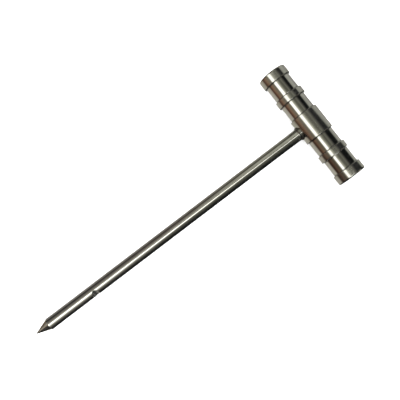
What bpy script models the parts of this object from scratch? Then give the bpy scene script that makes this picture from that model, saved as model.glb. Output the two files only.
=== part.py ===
"""Garden dibber: a pointed steel shaft screwed into a T grip built up from turned stainless pieces.

The tool lies flat. The shaft runs along X with its point towards -X, the grip runs along Y,
+Z is up, and z = 0 is the surface that the grip's rings rest on. The origin is below the middle
of the tool's overall length. Every piece is turned about its own local Z axis.
"""
import math

import bmesh
import bpy
from mathutils import Vector

# ---- driving dimensions, in metres ----
RING_RADIUS = 0.0125           # end caps, band rings and centre barrel: 25 mm bar
WAIST_RADIUS = 0.01105         # sleeves between the rings
SHAFT_RADIUS = 0.0050          # 10 mm rod
REACH = 0.2808                 # apex of the point to the grip's axis
CAP_LENGTH = 0.0085
SLEEVE_LENGTH = 0.0140
BAND_LENGTH = 0.0060
BARREL_LENGTH = 0.0220
GAP = 0.0003                   # clearance kept between pieces that touch

EDGE_ROUND = 0.0006            # rounded rim of a ring, where it steps down to a waist
END_ROUND = 0.0014             # rounded outer rim of an end cap
FLARE_LENGTH = 0.0005          # sleeve end that curves up to meet a ring
FLARE_RISE = 0.00035

STUD_RADIUS = 0.0050
STUD_RELIEF_RADIUS = 0.0045    # plain middle, between the two threaded ends
STUD_CHAMFER = 0.0006
STUD_BORE_RADIUS = STUD_RADIUS + GAP
CAP_SOCKET_DEPTH = 0.0055

CONE_LENGTH = 0.0132
CONE_BASE_RADIUS = 0.0048
NOSE_RADIUS = 0.0002
SPIGOT_RADIUS = 0.0025
SPIGOT_LENGTH = 0.0120
SHOULDER_RADIUS = 0.00515      # the shaft's end is a hair fuller than the rod behind it
SHOULDER_ROUND = 0.0008        # length of the rounding where the shaft meets the cone
SHOULDER_BLEND = 0.0090

NOTCH_FROM_APEX = 0.0586
NOTCH_CUTTER_RADIUS = 0.0032
NOTCH_DEPTH = 0.0022
NOTCH_TURN = math.radians(60)  # from straight up, towards the -Y side
NOTCH_LOOPS = 8                # short lengths that the rod is divided into round the notch

TENON_RADIUS = 0.00375
TENON_RELIEF_RADIUS = 0.0034
TENON_RELIEF_LENGTH = 0.0010
SHAFT_SHOULDER_X = -0.0064     # where the rod steps down to its tenon, from the grip's axis
TENON_END_X = 0.0070
FERRULE_RADIUS = 0.0060        # flared ring round the rod at the barrel's mouth
FERRULE_TIP_RADIUS = 0.0056
FERRULE_SEAT_X = -0.0095       # bottom of its counterbore, from the grip's axis
FERRULE_FACE_X = -0.0127       # where its flare starts, just outside the barrel
FERRULE_TIP_X = -0.0144

GRIP_STEPS = 48                # facets round a grip piece
ROD_STEPS = 32                 # facets round the shaft, its point and the ferrule
STUD_STEPS = 24
ARC_STEPS = 3                  # facets along a small rounding

GRIP_X = (REACH - RING_RADIUS) / 2
TIP_X = GRIP_X - REACH
BARREL_END = BARREL_LENGTH / 2
INNER_SLEEVE_END = BARREL_END + SLEEVE_LENGTH
BAND_END = INNER_SLEEVE_END + BAND_LENGTH
OUTER_SLEEVE_END = BAND_END + SLEEVE_LENGTH
GRIP_END = OUTER_SLEEVE_END + CAP_LENGTH

ALONG_X = (0, math.radians(90), 0)
ALONG_Y = {1: (math.radians(-90), 0, 0), -1: (math.radians(90), 0, 0)}
SIDES = {"left": 1, "right": -1}


def clear_scene():
    for obj in list(bpy.data.objects):
        bpy.data.objects.remove(obj)


def steel(name, colour, roughness):
    """A metal with a plain Principled surface."""
    material = bpy.data.materials.new(name)
    material.use_nodes = True
    surface = material.node_tree.nodes["Principled BSDF"]
    surface.inputs["Base Color"].default_value = (*colour, 1)
    surface.inputs["Metallic"].default_value = 1
    surface.inputs["Roughness"].default_value = roughness
    material.diffuse_color = (*colour, 1)
    return material


def corner(centre_z, centre_r, radius, start, end, steps=ARC_STEPS):
    """Points (z, r) along an arc, with its angles in degrees measured from +z towards +r."""
    points = []
    for step in range(steps + 1):
        angle = math.radians(start + (end - start) * step / steps)
        points.append((centre_z + radius * math.cos(angle), centre_r + radius * math.sin(angle)))
    return points


def turned(name, outline, steps, material, bored=False):
    """Spin an outline of (z, r) points round local Z; a bored piece's outline is a closed loop."""
    bm = bmesh.new()
    verts = [bm.verts.new((r, 0, z)) for z, r in outline]
    pairs = list(zip(verts, verts[1:]))
    if bored:
        pairs.append((verts[-1], verts[0]))
    edges = [bm.edges.new(pair) for pair in pairs]
    bmesh.ops.spin(bm, geom=verts + edges, cent=(0, 0, 0), axis=(0, 0, 1), dvec=(0, 0, 0),
                   angle=math.tau, steps=steps, use_merge=True)
    bmesh.ops.remove_doubles(bm, verts=bm.verts, dist=1e-7)
    bmesh.ops.recalc_face_normals(bm, faces=bm.faces)
    mesh = bpy.data.meshes.new(name)
    bm.to_mesh(mesh)
    bm.free()
    mesh.shade_smooth()
    mesh.set_sharp_from_angle(angle=math.radians(40))
    obj = bpy.data.objects.new(name, mesh)
    bpy.context.collection.objects.link(obj)
    if material:
        mesh.materials.append(material)
    return obj


def place(obj, parent, location, rotation):
    obj.parent = parent
    obj.location = location
    obj.rotation_euler = rotation


def guide(name, location):
    """An empty that its pieces are placed from."""
    empty = bpy.data.objects.new(name, None)
    empty.location = location
    bpy.context.collection.objects.link(empty)
    return empty


def cut(target, cutter):
    cutter.hide_render = True
    cutter.display_type = "WIRE"
    boolean = target.modifiers.new("cut", "BOOLEAN")
    boolean.operation = "DIFFERENCE"
    boolean.object = cutter


def ring_outline(length):
    """A bored ring with both outer rims rounded; z runs from 0 to its length."""
    inner = RING_RADIUS - EDGE_ROUND
    rim_low = corner(EDGE_ROUND, inner, EDGE_ROUND, 180, 90)
    rim_high = corner(length - EDGE_ROUND, inner, EDGE_ROUND, 90, 0)
    return [(0, STUD_BORE_RADIUS), *rim_low, *rim_high, (length, STUD_BORE_RADIUS)]


def flare(end_z, inward, steps=ARC_STEPS):
    """The concave curve from a sleeve's end face down to its waist."""
    points = []
    for step in range(steps + 1):
        along = step / steps
        rise = FLARE_RISE * (1 - math.sin(along * math.pi / 2))
        points.append((end_z + inward * FLARE_LENGTH * along, WAIST_RADIUS + rise))
    return points


def sleeve_outline(length):
    low = flare(0, 1)
    high = flare(length, -1)[::-1]
    return [(0, STUD_BORE_RADIUS), *low, *high, (length, STUD_BORE_RADIUS)]


def cap_outline(length):
    """An end cap with a blind socket in its inner face, at z = 0."""
    rim_low = corner(EDGE_ROUND, RING_RADIUS - EDGE_ROUND, EDGE_ROUND, 180, 90)
    rim_high = corner(length - END_ROUND, RING_RADIUS - END_ROUND, END_ROUND, 90, 0, ARC_STEPS + 1)
    socket = [(CAP_SOCKET_DEPTH, 0), (CAP_SOCKET_DEPTH, STUD_BORE_RADIUS), (0, STUD_BORE_RADIUS)]
    return [*socket, *rim_low, *rim_high, (length, 0)]


def stud_outline(length, inner_thread, outer_thread):
    """A stud threaded at both ends, with a thinner plain middle."""
    relief_start = inner_thread
    relief_end = length - outer_thread
    slope = STUD_RADIUS - STUD_RELIEF_RADIUS
    return [(0, 0), (0, STUD_RADIUS - STUD_CHAMFER), (STUD_CHAMFER, STUD_RADIUS),
            (relief_start, STUD_RADIUS), (relief_start + slope, STUD_RELIEF_RADIUS),
            (relief_end - slope, STUD_RELIEF_RADIUS), (relief_end, STUD_RADIUS),
            (length - STUD_CHAMFER, STUD_RADIUS), (length, STUD_RADIUS - STUD_CHAMFER), (length, 0)]


def add_grip_half(side, frame, satin, polished, plain):
    """The pieces on one side of the barrel, from the inside out, on their stud."""
    sign = SIDES[side]
    stations = [
        ("inner_sleeve", BARREL_END, SLEEVE_LENGTH, sleeve_outline, polished),
        ("band_ring", INNER_SLEEVE_END, BAND_LENGTH, ring_outline, satin),
        ("outer_sleeve", BAND_END, SLEEVE_LENGTH, sleeve_outline, polished),
    ]
    for kind, start, length, outline, material in stations:
        piece = turned(f"{kind}_{side}", outline(length - GAP), GRIP_STEPS, material, bored=True)
        place(piece, frame, (0, sign * (start + GAP / 2), 0), ALONG_Y[sign])

    cap = turned(f"end_cap_{side}", cap_outline(CAP_LENGTH - GAP / 2), GRIP_STEPS, satin)
    place(cap, frame, (0, sign * (OUTER_SLEEVE_END + GAP / 2), 0), ALONG_Y[sign])

    stud_start = TENON_RADIUS + GAP
    stud_end = OUTER_SLEEVE_END + CAP_SOCKET_DEPTH - GAP
    outline = stud_outline(stud_end - stud_start, BARREL_END - stud_start, CAP_SOCKET_DEPTH)
    stud = turned(f"stud_{side}", outline, STUD_STEPS, plain)
    place(stud, frame, (0, sign * stud_start, 0), ALONG_Y[sign])


def add_barrel(frame, satin):
    """The centre barrel: bored for the studs, and cross-bored for the ferrule, rod and tenon."""
    barrel = turned("centre_barrel", ring_outline(BARREL_LENGTH - GAP), GRIP_STEPS, satin, bored=True)
    place(barrel, frame, (0, GAP / 2 - BARREL_END, 0), ALONG_Y[1])

    outside_x = -2 * RING_RADIUS
    step_x = SHAFT_SHOULDER_X + GAP
    outline = [(outside_x, 0), (outside_x, FERRULE_RADIUS + GAP),
               (FERRULE_SEAT_X - GAP / 2, FERRULE_RADIUS + GAP),
               (FERRULE_SEAT_X - GAP / 2, SHAFT_RADIUS + GAP),
               (step_x, SHAFT_RADIUS + GAP), (step_x, TENON_RADIUS + GAP),
               (TENON_END_X + GAP, TENON_RADIUS + GAP), (TENON_END_X + GAP, 0)]
    cutter = turned("mouth_cutter", outline, ROD_STEPS, None)
    place(cutter, frame, (0, 0, 0), ALONG_X)
    cut(barrel, cutter)


def add_ferrule(frame, satin):
    """A thin ring seated in the barrel's mouth, with a concave flare that runs out onto the rod."""
    seat_x = FERRULE_SEAT_X - GAP
    bore = SHAFT_RADIUS + GAP
    outline = [(seat_x, bore), (FERRULE_TIP_X, bore)]
    for step in range(ARC_STEPS + 1):
        along = step / ARC_STEPS
        x = FERRULE_TIP_X + (FERRULE_FACE_X - FERRULE_TIP_X) * math.sin(along * math.pi / 2)
        rise = (FERRULE_RADIUS - FERRULE_TIP_RADIUS) * (1 - math.cos(along * math.pi / 2))
        outline.append((x, FERRULE_TIP_RADIUS + rise))
    outline.append((seat_x, FERRULE_RADIUS))
    ferrule = turned("mouth_ferrule", outline, ROD_STEPS, satin, bored=True)
    place(ferrule, frame, (0, 0, 0), ALONG_X)


def add_shaft(frame, steel_material):
    """The rod; its local z is measured from the point's apex, and the grip's axis is at REACH."""
    face = CONE_LENGTH + GAP
    socket_radius = SPIGOT_RADIUS + GAP
    socket_end = CONE_LENGTH + SPIGOT_LENGTH + GAP
    shoulder = REACH + SHAFT_SHOULDER_X
    tenon_end = REACH + TENON_END_X
    outline = [(socket_end, 0), (socket_end, socket_radius), (face, socket_radius)]
    for step in range(ARC_STEPS + 1):
        angle = math.pi / 2 * step / ARC_STEPS
        rise = (SHOULDER_RADIUS - CONE_BASE_RADIUS) * math.sin(angle)
        outline.append((face + SHOULDER_ROUND * (1 - math.cos(angle)), CONE_BASE_RADIUS + rise))
    outline.append((face + SHOULDER_BLEND, SHAFT_RADIUS))
    for loop in range(NOTCH_LOOPS + 1):
        from_notch = 2 * NOTCH_CUTTER_RADIUS * (2 * loop / NOTCH_LOOPS - 1)
        outline.append((NOTCH_FROM_APEX + from_notch, SHAFT_RADIUS))
    outline += [(shoulder, SHAFT_RADIUS),
                (shoulder, TENON_RELIEF_RADIUS), (shoulder + TENON_RELIEF_LENGTH, TENON_RELIEF_RADIUS),
                (shoulder + TENON_RELIEF_LENGTH, TENON_RADIUS), (tenon_end - STUD_CHAMFER, TENON_RADIUS),
                (tenon_end, TENON_RADIUS - STUD_CHAMFER), (tenon_end, 0)]
    shaft = turned("shaft", outline, ROD_STEPS, steel_material)
    place(shaft, frame, (-REACH, 0, 0), ALONG_X)

    outwards = Vector((0, -math.sin(NOTCH_TURN), math.cos(NOTCH_TURN)))
    offset = outwards * (SHAFT_RADIUS - NOTCH_DEPTH + NOTCH_CUTTER_RADIUS)
    reach = 3 * SHAFT_RADIUS
    cutter = turned("notch_cutter", [(-reach, 0), (-reach, NOTCH_CUTTER_RADIUS),
                                     (reach, NOTCH_CUTTER_RADIUS), (reach, 0)], STUD_STEPS, None)
    place(cutter, frame, Vector((NOTCH_FROM_APEX - REACH, 0, 0)) + offset,
          (NOTCH_TURN - math.radians(90), 0, 0))
    cut(shaft, cutter)


def add_point(frame, steel_material):
    """The cone and the spigot that holds it in the shaft."""
    spigot_end = CONE_LENGTH + SPIGOT_LENGTH
    outline = [(0, 0), (0, NOSE_RADIUS), (CONE_LENGTH, CONE_BASE_RADIUS), (CONE_LENGTH, SPIGOT_RADIUS),
               (spigot_end - STUD_CHAMFER, SPIGOT_RADIUS), (spigot_end, SPIGOT_RADIUS - STUD_CHAMFER),
               (spigot_end, 0)]
    point = turned("point", outline, ROD_STEPS, steel_material)
    place(point, frame, (-REACH, 0, 0), ALONG_X)


def build():
    clear_scene()
    satin = steel("satin_steel", (0.56, 0.55, 0.51), 0.28)
    polished = steel("polished_steel", (0.62, 0.61, 0.57), 0.12)
    rod = steel("shaft_steel", (0.55, 0.54, 0.50), 0.24)
    plain = steel("stud_steel", (0.42, 0.42, 0.41), 0.45)

    frame = guide("grip_axis", (GRIP_X, 0, RING_RADIUS))
    add_barrel(frame, satin)
    add_ferrule(frame, satin)
    for side in SIDES:
        add_grip_half(side, frame, satin, polished, plain)
    add_shaft(frame, rod)
    add_point(frame, rod)


build()
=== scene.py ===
import math

import bmesh
import bpy
from mathutils import Matrix, Vector


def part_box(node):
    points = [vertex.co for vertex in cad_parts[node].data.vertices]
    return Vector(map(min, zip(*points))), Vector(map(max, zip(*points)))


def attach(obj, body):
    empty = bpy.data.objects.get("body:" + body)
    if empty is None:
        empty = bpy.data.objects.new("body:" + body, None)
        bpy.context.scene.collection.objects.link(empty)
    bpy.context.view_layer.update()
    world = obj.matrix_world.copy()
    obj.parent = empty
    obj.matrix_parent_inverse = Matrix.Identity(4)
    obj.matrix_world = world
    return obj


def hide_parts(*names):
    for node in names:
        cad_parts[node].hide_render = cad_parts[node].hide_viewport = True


# A T-handled garden dibber of turned stainless steel, lying on a pale table.

# ---- the frame: every place below is worked out from these boxes, in metres ----
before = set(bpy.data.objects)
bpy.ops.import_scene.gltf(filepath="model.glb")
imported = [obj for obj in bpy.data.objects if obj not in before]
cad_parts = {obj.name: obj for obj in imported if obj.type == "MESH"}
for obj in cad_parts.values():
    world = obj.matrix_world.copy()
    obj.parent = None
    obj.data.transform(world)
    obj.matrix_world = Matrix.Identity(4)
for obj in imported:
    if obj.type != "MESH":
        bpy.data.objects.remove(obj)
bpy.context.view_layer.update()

BARREL_LOW, BARREL_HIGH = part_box("centre_barrel")
SHAFT_LOW, SHAFT_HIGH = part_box("shaft")
POINT_LOW, POINT_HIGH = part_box("point")
FERRULE_LOW, FERRULE_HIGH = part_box("mouth_ferrule")
STUD_LOW, STUD_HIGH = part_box("stud_left")

RING_RADIUS = (BARREL_HIGH.z - BARREL_LOW.z) / 2
GRIP_X = (BARREL_HIGH.x + BARREL_LOW.x) / 2
AXIS_Z = BARREL_LOW.z + RING_RADIUS
TIP_X = POINT_LOW.x
STUD_RADIUS = (STUD_HIGH.z - STUD_LOW.z) / 2
SHOULDER_RADIUS = (SHAFT_HIGH.z - SHAFT_LOW.z) / 2
CONE_BASE_RADIUS = (POINT_HIGH.z - POINT_LOW.z) / 2
FERRULE_RADIUS = (FERRULE_HIGH.z - FERRULE_LOW.z) / 2

CAD_GAP = 0.0003               # clearance between the CAD pieces
SEAM = 0.00006                 # the hairline that shows of it
CLOSE_UP = (CAD_GAP - SEAM) / 2
GRIP_BORE = STUD_RADIUS + CAD_GAP

# ---- turned shapes, in metres, finer than the CAD's ----
EDGE_ROUND = 0.00040           # of the rings' rims
END_ROUND = 0.0013             # of the end caps' outer rims
WAIST_RADIUS = 0.01105
WAIST_SAG = 0.00004            # how hollow a sleeve is at its middle
FLARE_LENGTH = 0.00018         # a sleeve's ends curve up to the rings
FLARE_RISE = 0.00010
SHAFT_RADIUS = 0.0050
SHOULDER_ROUND = 0.0003        # the rod's swollen end, where the point sits
SHOULDER_BLEND = 0.0090
SHAFT_SHOULDER = -0.0064       # from the grip's axis, where the rod steps down to its tenon
TENON_RADIUS = 0.00375
NOSE_RADIUS = 0.0002
SPIGOT_RADIUS = 0.0025
FERRULE_LIP_RADIUS = 0.00512
FERRULE_FOOT_RADIUS = 0.00528  # where the gentle part of its flare turns steep
FERRULE_FLARE = 0.0007
FERRULE_STEEPNESS = math.radians(54)
NOTCH_FROM_APEX = 0.0586
NOTCH_CUTTER_RADIUS = 0.0032
NOTCH_DEPTH = 0.0022
NOTCH_TURN = math.radians(60)  # from straight up, towards the -Y side

# ---- how finely they are made ----
LATHE_STEPS = 160              # faces round a piece
NOTCH_STEPS = 96
ARC_STEPS = 8
WAIST_STEPS = 14
LONGEST_RUN = 0.0008           # straight runs longer than this get a point just inside each end,
RUN_MARGIN = 0.00006           # this far in
MOUTH_STEP = 0.0006            # the size of the faces round the barrel's mouth,
MOUTH_SPREAD = 1.5             # out to so many of its radii
NOTCH_STEP = 0.0004            # and of those round the notch
NOTCH_SPREAD = 2
ON_AXIS = 1e-9                 # a radius that counts as none
SHARP_ANGLE = math.radians(32)

# ---- painted shade along edges and seams, from 0 to 1 ----
SEAM_PAINTED_SHADE = 2                  # sleeves and band rings hold this many times the painted shade of other edges, a dark hairline at each seam
# the ferrule's rim is painted dark as well, a painted shadow where it meets the barrel
FERRULE_RIM_PAINTED_SHADE = 0.6

SIDES = {"left": 1, "right": -1}

# ---- camera: above the tool, a little to the point's side, with the shaft rising to the right ----
CAMERA_FROM_GRIP = Vector((-0.1177, -0.0323, 0.4869))
VIEW_DIRECTION = Vector((0.0164, 0.0787, -0.9968))
UP_DIRECTION = Vector((0.6050, 0.7929, 0.0726))
SENSOR_WIDTH = 36.0
LENS = 54.0
CLIP_START = 0.01
CLIP_END = 20


# ---------------------------------------------------------------- node helpers
MIX_COLOURS = (6, 7)           # the Mix node's colour inputs
MIX_RESULT = 2                 # and its colour output
WHITE = (1.0, 1.0, 1.0)


def material_tree(name):
    material = bpy.data.materials.new(name)
    material.use_nodes = True
    return material, material.node_tree


def wire(tree, socket, value):
    """Links a socket to an output, or gives it a plain value."""
    if isinstance(value, bpy.types.NodeSocket):
        tree.links.new(value, socket)
    elif socket.type == "RGBA":
        socket.default_value = (*value, 1)
    else:
        socket.default_value = value


def node(tree, kind, settings=None, **inputs):
    """A shader node with its settings and its inputs, whose names have _ for a space."""
    made = tree.nodes.new("ShaderNode" + kind)
    for key, value in (settings or {}).items():
        setattr(made, key, value)
    for key, value in inputs.items():
        wire(tree, made.inputs[key.replace("_", " ")], value)
    return made


def maths(tree, operation, *values):
    made = node(tree, "Math", {"operation": operation})
    for socket, value in zip(made.inputs, values):
        wire(tree, socket, value)
    return made.outputs[0]


def step_between(tree, value, start, end, kind="LINEAR"):
    """0 up to the start, 1 from the end on, and in between a straight or a smooth rise."""
    settings = {"interpolation_type": kind}
    return node(tree, "MapRange", settings, From_Min=start, From_Max=end, Value=value).outputs["Result"]


def smooth_step(tree, value, start, end):
    return step_between(tree, value, start, end, "SMOOTHSTEP")


def blend(tree, factor, first, second, kind="MIX"):
    made = node(tree, "Mix", {"data_type": "RGBA", "blend_type": kind}, Factor=factor)
    for index, colour in zip(MIX_COLOURS, (first, second)):
        wire(tree, made.inputs[index], colour)
    return made.outputs[MIX_RESULT]


def multiplied(tree, first, second):
    return blend(tree, 1.0, first, second, "MULTIPLY")


def noise(tree, place, scale, detail):
    return node(tree, "TexNoise", Vector=place, Scale=scale, Detail=detail).outputs["Fac"]


def ramp(tree, value, stops):
    """A colour ramp over the range of its stops, which are (value, colour)."""
    made = node(tree, "ValToRGB")
    low, high = stops[0][0], stops[-1][0]
    elements = made.color_ramp.elements
    while len(elements) < len(stops):
        elements.new(1.0)
    for element, (place, colour) in zip(elements, stops):
        element.position = (place - low) / (high - low)
        element.color = (*colour, 1)
    wire(tree, made.inputs[0], step_between(tree, value, low, high))
    return made.outputs[0]


# ---------------------------------------------------------------- geometry helpers
def on_rod_axis(along_x):
    return Matrix.Translation((along_x, 0, AXIS_Z)) @ Matrix.Rotation(math.radians(90), 4, "Y")


def on_grip_axis(along_y, sign):
    turn = Matrix.Rotation(math.radians(-90 * sign), 4, "X")
    return Matrix.Translation((GRIP_X, along_y, AXIS_Z)) @ turn


def shares(first, steps):
    """Equal shares of a whole, from step first to the last."""
    return [step / steps for step in range(first, steps + 1)]


def arc(centre_a, centre_r, radius, start, end, steps=ARC_STEPS):
    """Points (along, radius) on an arc; angles in degrees from the axis direction towards outwards."""
    points = []
    for step in range(steps + 1):
        angle = math.radians(start + (end - start) * step / steps)
        points.append((centre_a + radius * math.cos(angle), centre_r + radius * math.sin(angle)))
    return points


def supported(outline):
    """Adds a point just inside each end of a long straight run, so that shading stays flat along it."""
    result = [outline[0]]
    for (a0, r0), (a1, r1) in zip(outline, outline[1:]):
        length = math.hypot(a1 - a0, r1 - r0)
        if length > LONGEST_RUN:
            share = RUN_MARGIN / length
            result.append((a0 + (a1 - a0) * share, r0 + (r1 - r0) * share))
            result.append((a1 - (a1 - a0) * share, r1 - (r1 - r0) * share))
        result.append((a1, r1))
    return result


def subdivided(outline, middle, spread, step):
    """Splits the outline's runs near a place along it, so that a cut there meets small faces."""
    nearest = step / 4
    result = [outline[0]]
    for (a0, r0), (a1, r1) in zip(outline, outline[1:]):
        low, high = max(min(a0, a1), middle - spread), min(max(a0, a1), middle + spread)
        if high - low > step:
            count = math.ceil((high - low) / step)
            cuts = [low + (high - low) * index / count for index in range(count + 1)]
            for place in cuts if a1 > a0 else cuts[::-1]:
                if min(abs(place - a0), abs(place - a1)) > nearest:
                    result.append((place, r0 + (r1 - r0) * (place - a0) / (a1 - a0)))
        result.append((a1, r1))
    return result


def edge_painted_shade(outline):
    """How much painted shade darkens each point: 0 where the outline runs straight and 1 where it turns
    as sharply as a ring's rim.
    """
    turns = [0.0]
    for before, here, after in zip(outline, outline[1:], outline[2:]):
        first = math.atan2(here[1] - before[1], here[0] - before[0])
        second = math.atan2(after[1] - here[1], after[0] - here[0])
        turn = abs(math.remainder(second - first, math.tau))
        length = min(math.dist(before, here), math.dist(here, after))
        turns.append(min(turn * EDGE_ROUND / length, 1.0))
    return turns + [0.0]


def lathe(name, outline, to_world, closed=False, steps=LATHE_STEPS, painted_shade=None, milled=0.0):
    """Turns an outline of (along, radius) points about local Z, then places the mesh with to_world.

    Its vertices carry the painted shade of edges and seams and its faces whether they are milled, for
    the steel to show."""
    bm = bmesh.new()
    painted_shade_layer = bm.verts.layers.float.new("painted_shade")
    milled_layer = bm.faces.layers.float.new("milled")
    turn = [math.tau * step / steps for step in range(steps)]
    rings = []
    for (along, radius), painted_shading in zip(outline, painted_shade or edge_painted_shade(outline)):
        if radius < ON_AXIS:
            ring = [bm.verts.new((0, 0, along))]
        else:
            ring = [bm.verts.new((radius * math.cos(t), radius * math.sin(t), along)) for t in turn]
        for vert in ring:
            vert[painted_shade_layer] = painted_shading
        rings.append(ring)
    pairs = list(zip(rings, rings[1:]))
    if closed:
        pairs.append((rings[-1], rings[0]))
    for low, high in pairs:
        for step in range(steps):
            after = (step + 1) % steps
            corners = [low[step % len(low)], low[after % len(low)],
                       high[after % len(high)], high[step % len(high)]]
            distinct = list(dict.fromkeys(corners))
            if len(distinct) > 2:
                bm.faces.new(distinct)[milled_layer] = milled
    bmesh.ops.recalc_face_normals(bm, faces=bm.faces)
    mesh = bpy.data.meshes.new(name)
    bm.to_mesh(mesh)
    bm.free()
    mesh.transform(to_world)
    mesh.shade_smooth()
    obj = bpy.data.objects.new(name, mesh)
    bpy.context.collection.objects.link(obj)
    return obj


def cut(obj, cutter):
    """Takes the cutter's shape out of the piece, for good, and removes the cutter."""
    boolean = obj.modifiers.new("cut", "BOOLEAN")
    boolean.operation = "DIFFERENCE"
    boolean.object = cutter
    evaluated = obj.evaluated_get(bpy.context.evaluated_depsgraph_get())
    result = bpy.data.meshes.new_from_object(evaluated)
    obj.modifiers.clear()
    obj.data = result
    bpy.data.objects.remove(cutter)


def finish_piece(obj, material, slot, *nodes):
    obj.data.set_sharp_from_angle(angle=SHARP_ANGLE)
    obj.data.materials.clear()
    obj.data.materials.append(material)
    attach(obj, "root")
    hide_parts(*nodes)


# ---------------------------------------------------------------- the grip's pieces
def rims(length, end_round=EDGE_ROUND, end_steps=ARC_STEPS):
    """The outside of a ring, from its start rim to its end rim."""
    return [*arc(EDGE_ROUND, RING_RADIUS - EDGE_ROUND, EDGE_ROUND, 180, 90),
            *arc(length - end_round, RING_RADIUS - end_round, end_round, 90, 0, end_steps)]


def ring_outline(length):
    return supported([(0, GRIP_BORE), *rims(length), (length, GRIP_BORE)])


def sleeve_outline(length):
    """A bored sleeve, slightly hollow, whose ends curve up to meet the rings."""
    top = []
    for along in shares(0, ARC_STEPS):
        rise = FLARE_RISE * (1 - math.sin(along * math.pi / 2))
        top.append((FLARE_LENGTH * along, WAIST_RADIUS + rise))
    flare = top[::-1]
    waist_length = length - 2 * FLARE_LENGTH
    for along in shares(1, WAIST_STEPS)[:-1]:
        sag = WAIST_SAG * 4 * along * (1 - along)
        top.append((FLARE_LENGTH + waist_length * along, WAIST_RADIUS - sag))
    for along, radius in flare:
        top.append((length - along, radius))
    return [(0, GRIP_BORE), *top, (length, GRIP_BORE)]


def cap_outline(length, socket_depth):
    """An end cap with a blind socket in its inner face; its outer rim has the large rounding."""
    return supported([(socket_depth, 0), (socket_depth, GRIP_BORE), (0, GRIP_BORE),
                      *rims(length, END_ROUND, 2 * ARC_STEPS), (length, 0)])


GRIP_PIECES = {
    "inner_sleeve": (sleeve_outline, "polished_steel"),
    "band_ring": (ring_outline, "satin_steel"),
    "outer_sleeve": (sleeve_outline, "polished_steel"),
}


def inner_end(low, high):
    """How far from the rod's axis a piece of the grip starts."""
    return min(abs(low.y), abs(high.y)) - CLOSE_UP


def add_grip_half(side, materials):
    """The pieces beside the barrel, outwards to the end cap, and the hidden stud that holds them."""
    sign = SIDES[side]
    for kind, (shape, slot) in GRIP_PIECES.items():
        low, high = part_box(f"{kind}_{side}")
        place = on_grip_axis(sign * inner_end(low, high), sign)
        outline = shape(high.y - low.y + 2 * CLOSE_UP)
        # sleeves and band rings carry more painted shade, a dark hairline at each seam
        painted_shading = [min(SEAM_PAINTED_SHADE * painted_shade, 1.0) for painted_shade in edge_painted_shade(outline)]
        piece = lathe(f"turned_{kind}_{side}", outline, place, closed=True, painted_shade=painted_shading)
        finish_piece(piece, materials[slot], slot, f"{kind}_{side}")

    low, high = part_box(f"end_cap_{side}")
    start = inner_end(low, high)
    outline = cap_outline(high.y - low.y + CLOSE_UP, STUD_HIGH.y + CAD_GAP - start)
    cap = lathe(f"turned_end_cap_{side}", outline, on_grip_axis(sign * start, sign))
    finish_piece(cap, materials["satin_steel"], "satin_steel", f"end_cap_{side}")

    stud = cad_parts[f"stud_{side}"]
    stud.data.materials.clear()
    stud.data.materials.append(materials["stud_steel"])


def add_barrel(materials):
    """The barrel, with its cross hole for the ferrule, the rod and the tenon."""
    half = BARREL_HIGH.y + CLOSE_UP
    mouth = FERRULE_RADIUS + SEAM
    outline = subdivided(ring_outline(2 * half), half, MOUTH_SPREAD * mouth, MOUTH_STEP)
    barrel = lathe("turned_centre_barrel", outline, on_grip_axis(-half, 1), closed=True)

    outside = -2 * RING_RADIUS
    seat = FERRULE_HIGH.x - GRIP_X + CAD_GAP / 2
    step = SHAFT_SHOULDER + CAD_GAP
    end = SHAFT_HIGH.x - GRIP_X + CAD_GAP
    rod_hole = SHAFT_RADIUS + CAD_GAP
    tenon_hole = TENON_RADIUS + CAD_GAP
    hole = [(outside, 0), (outside, mouth), (seat, mouth), (seat, rod_hole), (step, rod_hole),
            (step, tenon_hole), (end, tenon_hole), (end, 0)]
    cut(barrel, lathe("mouth_cutter", hole, on_rod_axis(GRIP_X)))
    finish_piece(barrel, materials["satin_steel"], "satin_steel", "centre_barrel")


def add_ferrule(materials):
    """The ring in the barrel's mouth, with a concave flare that runs out to a thin lip on the rod. Its
    flare and rim are painted dark, a painted shadow where the rod enters the barrel.
    """
    lip = FERRULE_LOW.x - GRIP_X
    seat = FERRULE_HIGH.x - GRIP_X
    bore = SHAFT_RADIUS + SEAM
    steep_run = (FERRULE_RADIUS - FERRULE_FOOT_RADIUS) / math.tan(FERRULE_STEEPNESS)
    outline = [(seat, bore), (lip, bore)]
    for along in shares(0, ARC_STEPS):
        angle = FERRULE_STEEPNESS * along
        run = FERRULE_FLARE * math.sin(angle) / math.sin(FERRULE_STEEPNESS)
        share = (1 - math.cos(angle)) / (1 - math.cos(FERRULE_STEEPNESS))
        rise = (FERRULE_FOOT_RADIUS - FERRULE_LIP_RADIUS) * share
        outline.append((lip + run, FERRULE_LIP_RADIUS + rise))
    outline.append((lip + FERRULE_FLARE + steep_run, FERRULE_RADIUS))
    outline.append((seat, FERRULE_RADIUS))
    # the flare and the rim are painted dark, a painted shadow round the rod's root
    painted_shading = [0.0, 0.0, *shares(0, ARC_STEPS), FERRULE_RIM_PAINTED_SHADE, FERRULE_RIM_PAINTED_SHADE]
    ferrule = lathe("flared_mouth_ferrule", outline, on_rod_axis(GRIP_X), closed=True, painted_shade=painted_shading)
    finish_piece(ferrule, materials["ferrule_steel"], "satin_steel", "mouth_ferrule")


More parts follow.
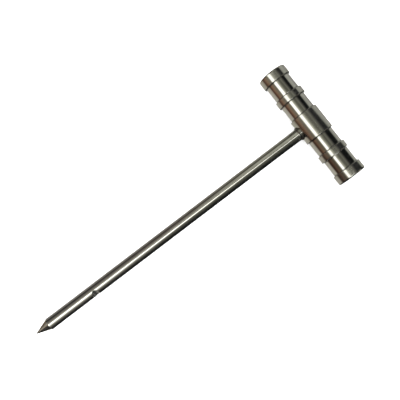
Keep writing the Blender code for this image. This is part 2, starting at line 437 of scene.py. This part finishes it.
# ---------------------------------------------------------------- the shaft and its point
def shaft_outline():
    """The rod with its socket, its slightly swollen end and its tenon.

    Distances run from the point's apex."""
    face = SHAFT_LOW.x - TIP_X - CAD_GAP + SEAM
    socket_end = POINT_HIGH.x - TIP_X + CAD_GAP
    shoulder = GRIP_X + SHAFT_SHOULDER - TIP_X
    tenon_end = SHAFT_HIGH.x - TIP_X
    socket = SPIGOT_RADIUS + CAD_GAP
    outline = [(socket_end, 0), (socket_end, socket), (face, socket)]
    for along in shares(0, ARC_STEPS):
        angle = math.pi / 2 * along
        rise = (SHOULDER_RADIUS - CONE_BASE_RADIUS) * math.sin(angle)
        outline.append((face + SHOULDER_ROUND * (1 - math.cos(angle)), CONE_BASE_RADIUS + rise))
    for along in shares(1, ARC_STEPS):
        ease = along * along * (3 - 2 * along)
        outline.append((face + SHOULDER_ROUND + (SHOULDER_BLEND - SHOULDER_ROUND) * along,
                        SHOULDER_RADIUS + (SHAFT_RADIUS - SHOULDER_RADIUS) * ease))
    outline += [(shoulder, SHAFT_RADIUS), (shoulder, TENON_RADIUS),
                (tenon_end, TENON_RADIUS), (tenon_end, 0)]
    spread = NOTCH_SPREAD * NOTCH_CUTTER_RADIUS
    return supported(subdivided(outline, NOTCH_FROM_APEX, spread, NOTCH_STEP))


def add_shaft(materials):
    """The rod, with a round notch milled across one side near the point."""
    shaft = lathe("turned_shaft", shaft_outline(), on_rod_axis(TIP_X))

    outwards = Vector((0, -math.sin(NOTCH_TURN), math.cos(NOTCH_TURN)))
    offset = outwards * (SHAFT_RADIUS - NOTCH_DEPTH + NOTCH_CUTTER_RADIUS)
    where = Vector((TIP_X + NOTCH_FROM_APEX, 0, AXIS_Z)) + offset
    reach = 3 * SHAFT_RADIUS
    outline = [(-reach, 0), (-reach, NOTCH_CUTTER_RADIUS), (reach, NOTCH_CUTTER_RADIUS), (reach, 0)]
    across = Matrix.Translation(where) @ Matrix.Rotation(NOTCH_TURN - math.radians(90), 4, "X")
    cut(shaft, lathe("notch_cutter", outline, across, steps=NOTCH_STEPS, milled=1.0))
    finish_piece(shaft, materials["shaft_steel"], "shaft_steel", "shaft")


def add_point(materials):
    """The cone and the spigot behind it."""
    cone = SHAFT_LOW.x - CAD_GAP - TIP_X
    end = POINT_HIGH.x - TIP_X
    outline = [(0, 0), (0, NOSE_RADIUS), (cone, CONE_BASE_RADIUS),
               (cone, SPIGOT_RADIUS), (end, SPIGOT_RADIUS), (end, 0)]
    point = lathe("ground_point", supported(outline), on_rod_axis(TIP_X))
    # the point gets the paler steel, painted light on the cone
    finish_piece(point, materials["point_steel_painted_pale"], "shaft_steel", "point")


# ---------------------------------------------------------------- steel
FINE_MARKS = (5200, 18)        # turning marks for each metre, along the axis and round it
BROAD_MARKS = (900, 12)
MARK_DETAIL = 2.0
FINE_SHARE = 0.6               # how deep the fine marks are beside the broad ones
CLOUD_SCALE = 160.0
CLOUD_DETAIL = 3.0
CLOUD_RANGE = (0.3, 0.7)
CLOUD_SHADE = 0.90             # how dark the clouds are beside clean steel
SMUDGE = 0.25                  # how much of the roughness comes and goes
MILLED_PAINTED_LIGHT = 1.15            # milled steel is drawn paler, painted light inside the notch,
MILLED_ROUGHNESS = 0.15        # and this much is added to its roughness
PAINTED_EDGE_SHADE = 0.62                   # how dark the painted shade along edges and seams is

FINISHES = {
    "satin_steel": {"tint": (0.54, 0.53, 0.485), "roughness": 0.095, "turned_about": "Y"},
    # the ferrule's steel is the satin steel, a little rougher, with darker painted shade on its flare
    "ferrule_steel": {"tint": (0.54, 0.53, 0.485), "roughness": 0.12, "turned_about": "X",
                      "painted_edge_shade": 0.30},
    "polished_steel": {"tint": (0.59, 0.58, 0.54), "roughness": 0.03, "turned_about": "Y",
                       "mark_depth": 0.3e-6, "painted_edge_shade": 0.40},
    "shaft_steel": {"tint": (0.57, 0.56, 0.52), "roughness": 0.09, "turned_about": "X"},
    # the point's steel is far paler than the rod's: painted light that brightens the cone's reflection
    "point_steel_painted_pale": {"tint": (0.94, 0.92, 0.86), "roughness": 0.12, "turned_about": "X"},
    "stud_steel": {"tint": (0.42, 0.42, 0.41), "roughness": 0.40, "turned_about": "Y",
                   "mark_depth": 2.0e-6},
}


def steel(name, tint, roughness, turned_about, mark_depth=0.6e-6, painted_edge_shade=PAINTED_EDGE_SHADE):
    """Turned steel: fine rings round its axis and a cloudy finish, drawn darker along its edges and
    seams as painted shade.

    It is rougher where it is milled, and drawn paler there as painted light."""
    material, tree = material_tree(name)
    surface = tree.nodes["Principled BSDF"]
    position = node(tree, "TexCoord").outputs["Object"]
    centred = node(tree, "Mapping", Vector=position, Location=(-GRIP_X, 0, -AXIS_Z)).outputs[0]

    def marks(along, around):
        scale = (along, around, around) if turned_about == "X" else (around, along, around)
        stretched = node(tree, "Mapping", Vector=centred, Scale=scale).outputs[0]
        return noise(tree, stretched, 1.0, MARK_DETAIL)

    def attribute(name):
        return node(tree, "Attribute", {"attribute_name": name}).outputs["Fac"]

    def shaded(share):
        return tuple(channel * share for channel in tint)

    broad = marks(*BROAD_MARKS)
    clouds = noise(tree, centred, CLOUD_SCALE, CLOUD_DETAIL)
    milled = attribute("milled")
    colour = blend(tree, smooth_step(tree, clouds, *CLOUD_RANGE), shaded(CLOUD_SHADE), tint)
    # painted light: the notch's milled faces are drawn paler
    colour = blend(tree, milled, colour, shaded(MILLED_PAINTED_LIGHT))
    # painted shade: the steel is drawn darker where edges and seams turn
    colour = blend(tree, attribute("painted_shade"), colour, shaded(painted_edge_shade))
    wire(tree, surface.inputs["Base Color"], colour)

    uneven = maths(tree, "ADD", clouds, broad)
    uneven = maths(tree, "MULTIPLY_ADD", uneven, SMUDGE * roughness, roughness * (1 - SMUDGE))
    rough = maths(tree, "MULTIPLY_ADD", milled, MILLED_ROUGHNESS, uneven)
    wire(tree, surface.inputs["Roughness"], rough)
    surface.inputs["Metallic"].default_value = 1

    height = maths(tree, "MULTIPLY_ADD", marks(*FINE_MARKS), FINE_SHARE, broad)
    bump = node(tree, "Bump", Strength=1.0, Distance=mark_depth, Height=height)
    wire(tree, surface.inputs["Normal"], bump.outputs[0])
    return material


# ---------------------------------------------------------------- surroundings
PEAK = 4.0                     # the ramps hold colours as shares of this brightness
AMBIENT = 3.4                  # soft light that falls on the floor
STEEL_TINT = (0.56, 0.55, 0.51)


def linear(share):
    """A display value from 0 to 1 as an amount of light, by the sRGB curve."""
    return share / 12.92 if share <= 0.04045 else ((share + 0.055) / 1.055) ** 2.4


def seen(red, green, blue, gain=1.0):
    """The light that shows on the steel as a display colour, as a share of the brightest."""
    return tuple(linear(channel / 255) * gain / (tint * PEAK)
                 for channel, tint in zip((red, green, blue), STEEL_TINT))


WINDOW = seen(255, 254, 240, 1.3)
SUN = seen(255, 254, 240, 2.1)
TABLE = seen(158, 156, 146)
BLACK = seen(14, 15, 14)

# What the tool reflects, by how far the reflected direction leans, in degrees.
OVER_THE_GRIP = [(-180, TABLE), (-126, seen(156, 152, 138)), (-110, seen(140, 132, 118)),
                 (-101, seen(64, 48, 37)), (-91, seen(84, 60, 45)), (-78, seen(116, 92, 72)),
                 (-66, seen(112, 97, 80)), (-57, seen(106, 97, 82)), (-49, seen(112, 108, 95)),
                 (-41, WINDOW), (-27, WINDOW), (-20, seen(188, 187, 172)), (-14, seen(144, 143, 128)),
                 (-6, seen(108, 107, 93)), (0, seen(90, 89, 77)), (9, seen(78, 77, 67)),
                 (19, seen(98, 97, 86)), (26, seen(86, 85, 77)), (33, seen(61, 60, 54)), (43, BLACK),
                 (76, BLACK), (83, seen(92, 93, 85)), (88, seen(130, 129, 118)),
                 (112, seen(152, 151, 141)), (136, seen(122, 121, 112)), (180, TABLE)]
ROD_BY_POINT = [(-180, seen(80, 79, 75)), (-140, seen(22, 22, 20)), (-104, seen(22, 21, 19)),
                (-86, seen(40, 38, 34)), (-66, seen(80, 77, 71)), (-52, seen(114, 110, 102)),
                (-42, seen(164, 162, 148)), (-33, seen(228, 227, 208)), (-26, WINDOW), (-14, SUN),
                (-4, SUN), (5, seen(232, 229, 216)), (11, seen(140, 137, 127)), (18, seen(106, 103, 94)),
                (28, seen(98, 94, 86)), (42, seen(82, 79, 72)), (54, seen(48, 44, 39)),
                (63, seen(18, 15, 13)), (73, seen(24, 20, 17)), (86, seen(84, 80, 74)),
                (104, seen(122, 119, 112)), (180, seen(140, 137, 131))]
ROD_MIDWAY = [(-180, seen(88, 87, 83)), (-132, seen(24, 24, 22)), (-92, seen(18, 18, 16)),
              (-76, seen(34, 34, 29)), (-60, seen(54, 53, 46)), (-46, seen(74, 72, 62)),
              (-36, seen(86, 84, 73)), (-27, seen(116, 114, 101)), (-19, seen(205, 203, 188)),
              (-14, SUN), (8, SUN), (15, seen(150, 147, 135)), (22, seen(106, 103, 92)),
              (32, seen(98, 94, 85)), (46, seen(88, 81, 72)), (58, seen(61, 52, 45)),
              (68, seen(43, 33, 28)), (78, seen(60, 52, 45)), (92, seen(98, 93, 86)),
              (110, seen(122, 118, 110)), (180, seen(134, 131, 123))]
ROD_BY_GRIP = [(-180, seen(84, 85, 80)), (-126, seen(16, 17, 15)), (-86, seen(14, 15, 13)),
               (-70, seen(30, 31, 26)), (-54, seen(52, 52, 44)), (-40, seen(66, 66, 56)),
               (-28, seen(74, 74, 63)), (-19, seen(82, 82, 70)), (-12, seen(112, 112, 99)),
               (-7, SUN), (5, SUN), (10, seen(190, 190, 174)), (14, seen(158, 158, 142)),
               (22, seen(138, 139, 123)), (36, seen(152, 152, 136)), (48, seen(140, 139, 124)),
               (58, seen(90, 90, 78)), (67, seen(52, 52, 43)), (78, seen(72, 71, 60)),
               (92, seen(102, 100, 88)), (114, seen(128, 126, 114)), (180, seen(134, 132, 122))]
BY_POINT_X = -0.24             # the reflected direction's X where each of the rod's ramps is in full
MIDWAY_X = -0.05
BY_GRIP_X = 0.16

# Zones of the surroundings. Each limit is a part of the reflected direction, or how far it leans in
# degrees, with the value where the zone is 0 and the value where it is 1. X points along the rod to the
# grip, Y along the grip and Z up.
RIGHT_OF_GRIP = [("y", -0.066, -0.082)]
LEFT_OF_GRIP = [("y", 0.178, 0.20)]
ACROSS_ROD = [("x", -0.46, -0.34), ("x", 0.36, 0.26)]
CEILING_FAR_EDGE = [("lean_x", 40, 72)]
CEILING_SKEW = 200.0           # that edge runs aslant: degrees of lean for each unit of Y
CEILING_SKEW_FROM = 0.035
WINDOW_NEAR_EDGE = [("lean_x", -22, -40)]
WINDOW_SKEW = 30.0
WINDOW_SKEW_FROM = 0.13
UNDER_WINDOW = [("lean_x", -48, -56), ("lean_x", -113, -104)]
CLEAR_OF_SHADE = [("y", -0.06, 0.10)]
SHADE = (0.30, 0.30, 0.30)     # under the window, to the right
UNDER_CEILING = [("lean_x", -14, 0), ("lean_x", 34, 20)]
DAPPLE_SCALE = (14, 70, 1)
DAPPLE_DETAIL = 2.0
DAPPLE_RANGE = (0.35, 0.65)
DAPPLE_DARK = (0.84, 0.84, 0.84)
DAPPLE_PALE = (1.16, 1.16, 1.14)
PAST_TIP = [("x", -0.30, -0.50), ("z", -0.80, -0.60)]
FAR_RIGHT = [("y", -0.06, -0.26)]
FAR_LEFT = [("y", 0.25, 0.60)]
FAR_LEFT_SHARE = 0.6
NEAR_GROUND = [("y", -0.18, -0.34), ("z", 0.30, -0.05), ("x", -0.30, -0.05)]
NEAR_GROUND_SHARE = 0.9
UNLIT = (0.05, 0.05, 0.05)


def surroundings():
    """A bright window, dark ceiling and pale table, as steel shows them.

    The camera and the floor see plain white."""
    world = bpy.data.worlds.new("studio")
    world.use_nodes = True
    tree = world.node_tree
    tree.nodes.clear()
    direction = node(tree, "TexCoord").outputs["Generated"]
    x, y, z = node(tree, "SeparateXYZ", Vector=direction).outputs
    lean_x = maths(tree, "DEGREES", maths(tree, "ARCTAN2", x, z))
    lean_y = maths(tree, "DEGREES", maths(tree, "ARCTAN2", y, z))
    parts = {"x": x, "y": y, "z": z, "lean_x": lean_x}

    def zone(limits):
        steps = [smooth_step(tree, parts[part], start, end) for part, start, end in limits]
        share = steps[0]
        for step in steps[1:]:
            share = maths(tree, "MULTIPLY", share, step)
        return share

    def aslant(skew_from, skew, limits):
        degrees = maths(tree, "MULTIPLY", maths(tree, "SUBTRACT", y, skew_from), skew)
        return maths(tree, "MULTIPLY", degrees, zone(limits))

    def tinted(colour, share, tint):
        return multiplied(tree, colour, blend(tree, share, WHITE, tint))

    skew = maths(tree, "ADD", aslant(CEILING_SKEW_FROM, CEILING_SKEW, CEILING_FAR_EDGE),
                 aslant(WINDOW_SKEW_FROM, WINDOW_SKEW, WINDOW_NEAR_EDGE))
    over_grip = ramp(tree, maths(tree, "ADD", lean_x, skew), OVER_THE_GRIP)
    shade = blend(tree, zone(CLEAR_OF_SHADE), SHADE, WHITE)
    over_grip = tinted(over_grip, zone(UNDER_WINDOW), shade)
    stretched = node(tree, "Mapping", Vector=direction, Scale=DAPPLE_SCALE).outputs[0]
    speckle = smooth_step(tree, noise(tree, stretched, 1.0, DAPPLE_DETAIL), *DAPPLE_RANGE)
    over_grip = tinted(over_grip, zone(UNDER_CEILING), blend(tree, speckle, DAPPLE_DARK, DAPPLE_PALE))
    far_left = maths(tree, "MULTIPLY", zone(FAR_LEFT), FAR_LEFT_SHARE)
    past_tip = maths(tree, "MULTIPLY", maths(tree, "MAXIMUM", zone(FAR_RIGHT), far_left), zone(PAST_TIP))
    near_ground = maths(tree, "MULTIPLY", zone(NEAR_GROUND), NEAR_GROUND_SHARE)
    over_grip = tinted(over_grip, maths(tree, "MAXIMUM", past_tip, near_ground), UNLIT)

    by_point, midway, by_grip = (ramp(tree, lean_y, stops)
                                 for stops in (ROD_BY_POINT, ROD_MIDWAY, ROD_BY_GRIP))
    along_rod = blend(tree, step_between(tree, x, BY_POINT_X, MIDWAY_X), by_point, midway)
    along_rod = blend(tree, step_between(tree, x, MIDWAY_X, BY_GRIP_X), along_rod, by_grip)
    beside_grip = maths(tree, "MAXIMUM", zone(RIGHT_OF_GRIP), zone(LEFT_OF_GRIP))
    sideways = maths(tree, "MULTIPLY", beside_grip, zone(ACROSS_ROD))
    everything = blend(tree, sideways, over_grip, along_rod)

    reflected = node(tree, "Background", Color=everything, Strength=PEAK)
    plain = node(tree, "Background", Color=WHITE, Strength=AMBIENT)
    path = node(tree, "LightPath")
    shader = node(tree, "MixShader", Fac=path.outputs["Is Glossy Ray"])
    tree.links.new(plain.outputs[0], shader.inputs[1])
    tree.links.new(reflected.outputs[0], shader.inputs[2])
    output = node(tree, "OutputWorld", Surface=shader.outputs[0])
    output.is_active_output = True
    bpy.context.scene.world = world


# ---------------------------------------------------------------- the table under the tool
FLOOR_HALF = 1.6
FLOOR_SQUARES = 8
FLOOR_DROP = 0.00002           # below the rings
FLOOR_SHADES = ((0.80, 0.80, 0.80), (0.83, 0.83, 0.83))
MOTTLE_SCALE = 40.0
MOTTLE_DETAIL = 4.0
FLOOR_ROUGHNESS = 0.9


def add_floor():
    """A pale table, tipped so that the rings and the shaft's end both rest on it."""
    tilt = math.atan2(AXIS_Z - SHOULDER_RADIUS, GRIP_X - SHAFT_LOW.x)
    mesh = bpy.data.meshes.new("floor")
    bm = bmesh.new()
    bmesh.ops.create_grid(bm, x_segments=FLOOR_SQUARES, y_segments=FLOOR_SQUARES, size=FLOOR_HALF)
    bm.to_mesh(mesh)
    bm.free()
    floor = bpy.data.objects.new("floor", mesh)
    floor.location = (GRIP_X, 0, -FLOOR_DROP)
    floor.rotation_euler = (0, tilt, 0)
    bpy.context.collection.objects.link(floor)
    material, tree = material_tree("pale_table")
    surface = tree.nodes["Principled BSDF"]
    mottling = node(tree, "TexNoise", Scale=MOTTLE_SCALE, Detail=MOTTLE_DETAIL).outputs["Fac"]
    wire(tree, surface.inputs["Base Color"], blend(tree, mottling, *FLOOR_SHADES))
    surface.inputs["Roughness"].default_value = FLOOR_ROUGHNESS
    surface.inputs["Specular IOR Level"].default_value = 0
    mesh.materials.append(material)
    floor.visible_glossy = False


def add_camera():
    data = bpy.data.cameras.new("camera")
    data.sensor_width = SENSOR_WIDTH
    data.lens = LENS
    data.clip_start = CLIP_START
    data.clip_end = CLIP_END
    camera = bpy.data.objects.new("camera", data)
    bpy.context.collection.objects.link(camera)
    back = -VIEW_DIRECTION.normalized()
    right = UP_DIRECTION.cross(back).normalized()
    up = back.cross(right)
    turn = Matrix((right, up, back)).transposed()
    place = Vector((GRIP_X, 0, AXIS_Z)) + CAMERA_FROM_GRIP
    camera.matrix_world = Matrix.Translation(place) @ turn.to_4x4()
    bpy.context.scene.camera = camera


# ---------------------------------------------------------------- the whole scene
MATERIALS = {name: steel(name, **finish) for name, finish in FINISHES.items()}
add_barrel(MATERIALS)
add_ferrule(MATERIALS)
for side in SIDES:
    add_grip_half(side, MATERIALS)
add_shaft(MATERIALS)
add_point(MATERIALS)
surroundings()
add_floor()
add_camera()

bpy.context.scene.view_settings.view_transform = "Standard"
